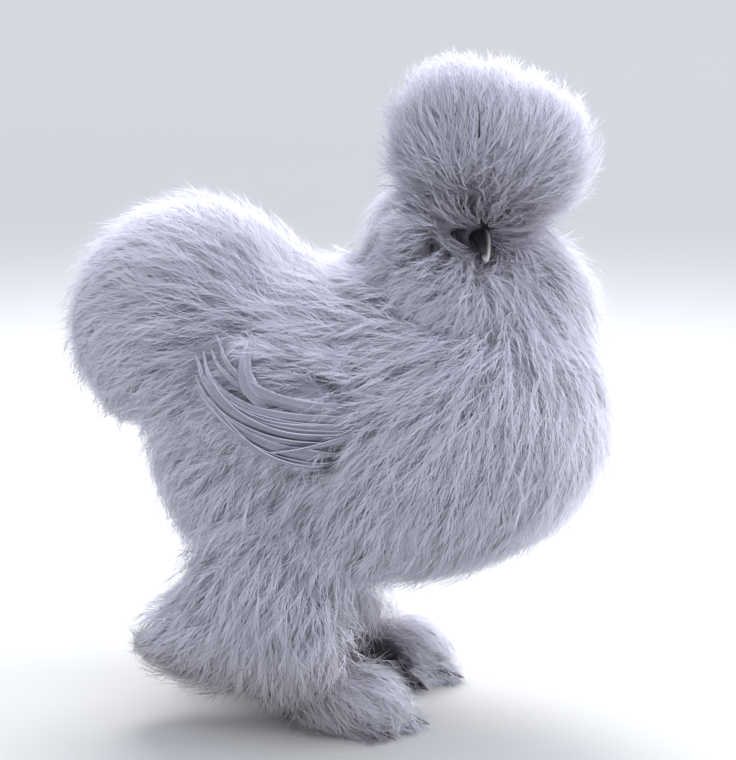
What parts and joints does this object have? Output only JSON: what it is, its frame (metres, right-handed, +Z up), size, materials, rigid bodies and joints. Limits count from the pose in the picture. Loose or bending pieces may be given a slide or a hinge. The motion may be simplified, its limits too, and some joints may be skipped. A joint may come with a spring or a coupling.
{
  "type": "silkie chicken",
  "caption": "Lavender bearded silkie hen, life size, standing with its crested head turned to its right: a still model of the whole bird with its soft plumage.",
  "frame": {"origin": "on the floor, under the middle of the bird's bounding box", "axes": "+X the way the body faces, +Y the bird's left side, +Z up"},
  "size_m": [0.2716, 0.162, 0.3223],
  "materials": {
    "plumage": "matte, soft silky feathers",
    "skin": "satin, dark slate skin",
    "horn": "satin, slate horn",
    "comb": "matte, dark mulberry",
    "eye": "wet gloss"
  },
  "bodies": {
    "root": {"crest": "plumage", "beard": "plumage", "neck": "plumage", "trunk": "plumage", "tail": "plumage", "wing_right": "plumage", "wing_left": "plumage", "thigh_right": "plumage", "shank_right": "plumage", "boot_right": "plumage", "thigh_left": "plumage", "shank_left": "plumage", "boot_left": "plumage", "head": "skin", "foot_right": "skin", "foot_left": "skin", "beak_upper": "horn", "beak_lower": "horn", "claw_hallux_right": "horn", "claw_inner_right": "horn", "claw_middle_right": "horn", "claw_outer_right": "horn", "claw_fifth_right": "horn", "claw_hallux_left": "horn", "claw_inner_left": "horn", "claw_middle_left": "horn", "claw_outer_left": "horn", "claw_fifth_left": "horn", "comb": "comb", "eye_right": "eye", "eye_left": "eye"}
  },
  "joints": []
}
